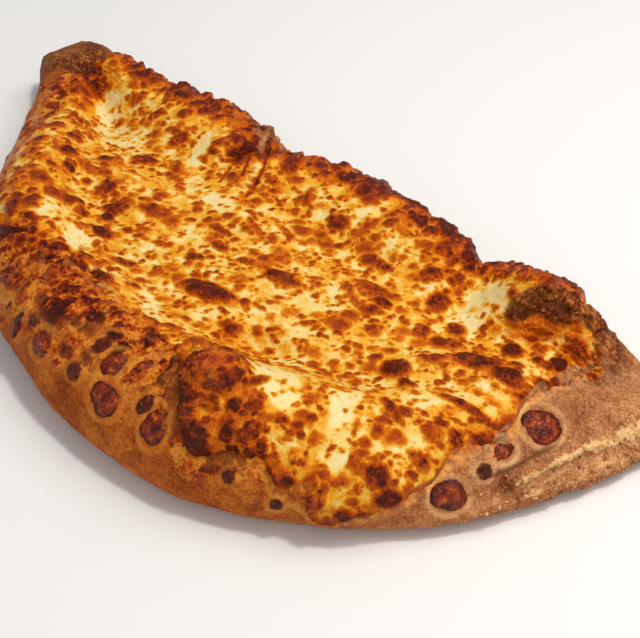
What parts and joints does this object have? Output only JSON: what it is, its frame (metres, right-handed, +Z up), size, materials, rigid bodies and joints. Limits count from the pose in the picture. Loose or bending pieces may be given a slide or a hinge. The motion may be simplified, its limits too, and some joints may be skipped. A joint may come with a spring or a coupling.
{
  "type": "calzone",
  "caption": "Half-moon calzone of folded bread dough, with a sheet of cheese melted and browned over its sunken top and browned cheese spots on its bare rim.",
  "frame": {"origin": "middle of the plan's bounding box, on the flat base", "axes": "+X along the straight folded side from the ear to the tail, +Y towards the folded side, -Y towards the rounded belly, +Z up"},
  "size_m": [0.366, 0.179, 0.0525],
  "materials": {
    "crust": "baked dough, matte and slightly rough",
    "melted_cheese": "melted cheese, oily sheen, browned in spots",
    "browned_cheese": "dark browned cheese, oily sheen"
  },
  "bodies": {
    "root": {"crust": "crust", "cheese_sheet": "melted_cheese", "cheese_spot_01": "browned_cheese", "cheese_spot_02": "browned_cheese", "cheese_spot_03": "browned_cheese", "cheese_spot_04": "browned_cheese", "cheese_spot_05": "browned_cheese", "cheese_spot_06": "browned_cheese", "cheese_spot_07": "browned_cheese", "cheese_spot_08": "browned_cheese"}
  },
  "joints": []
}
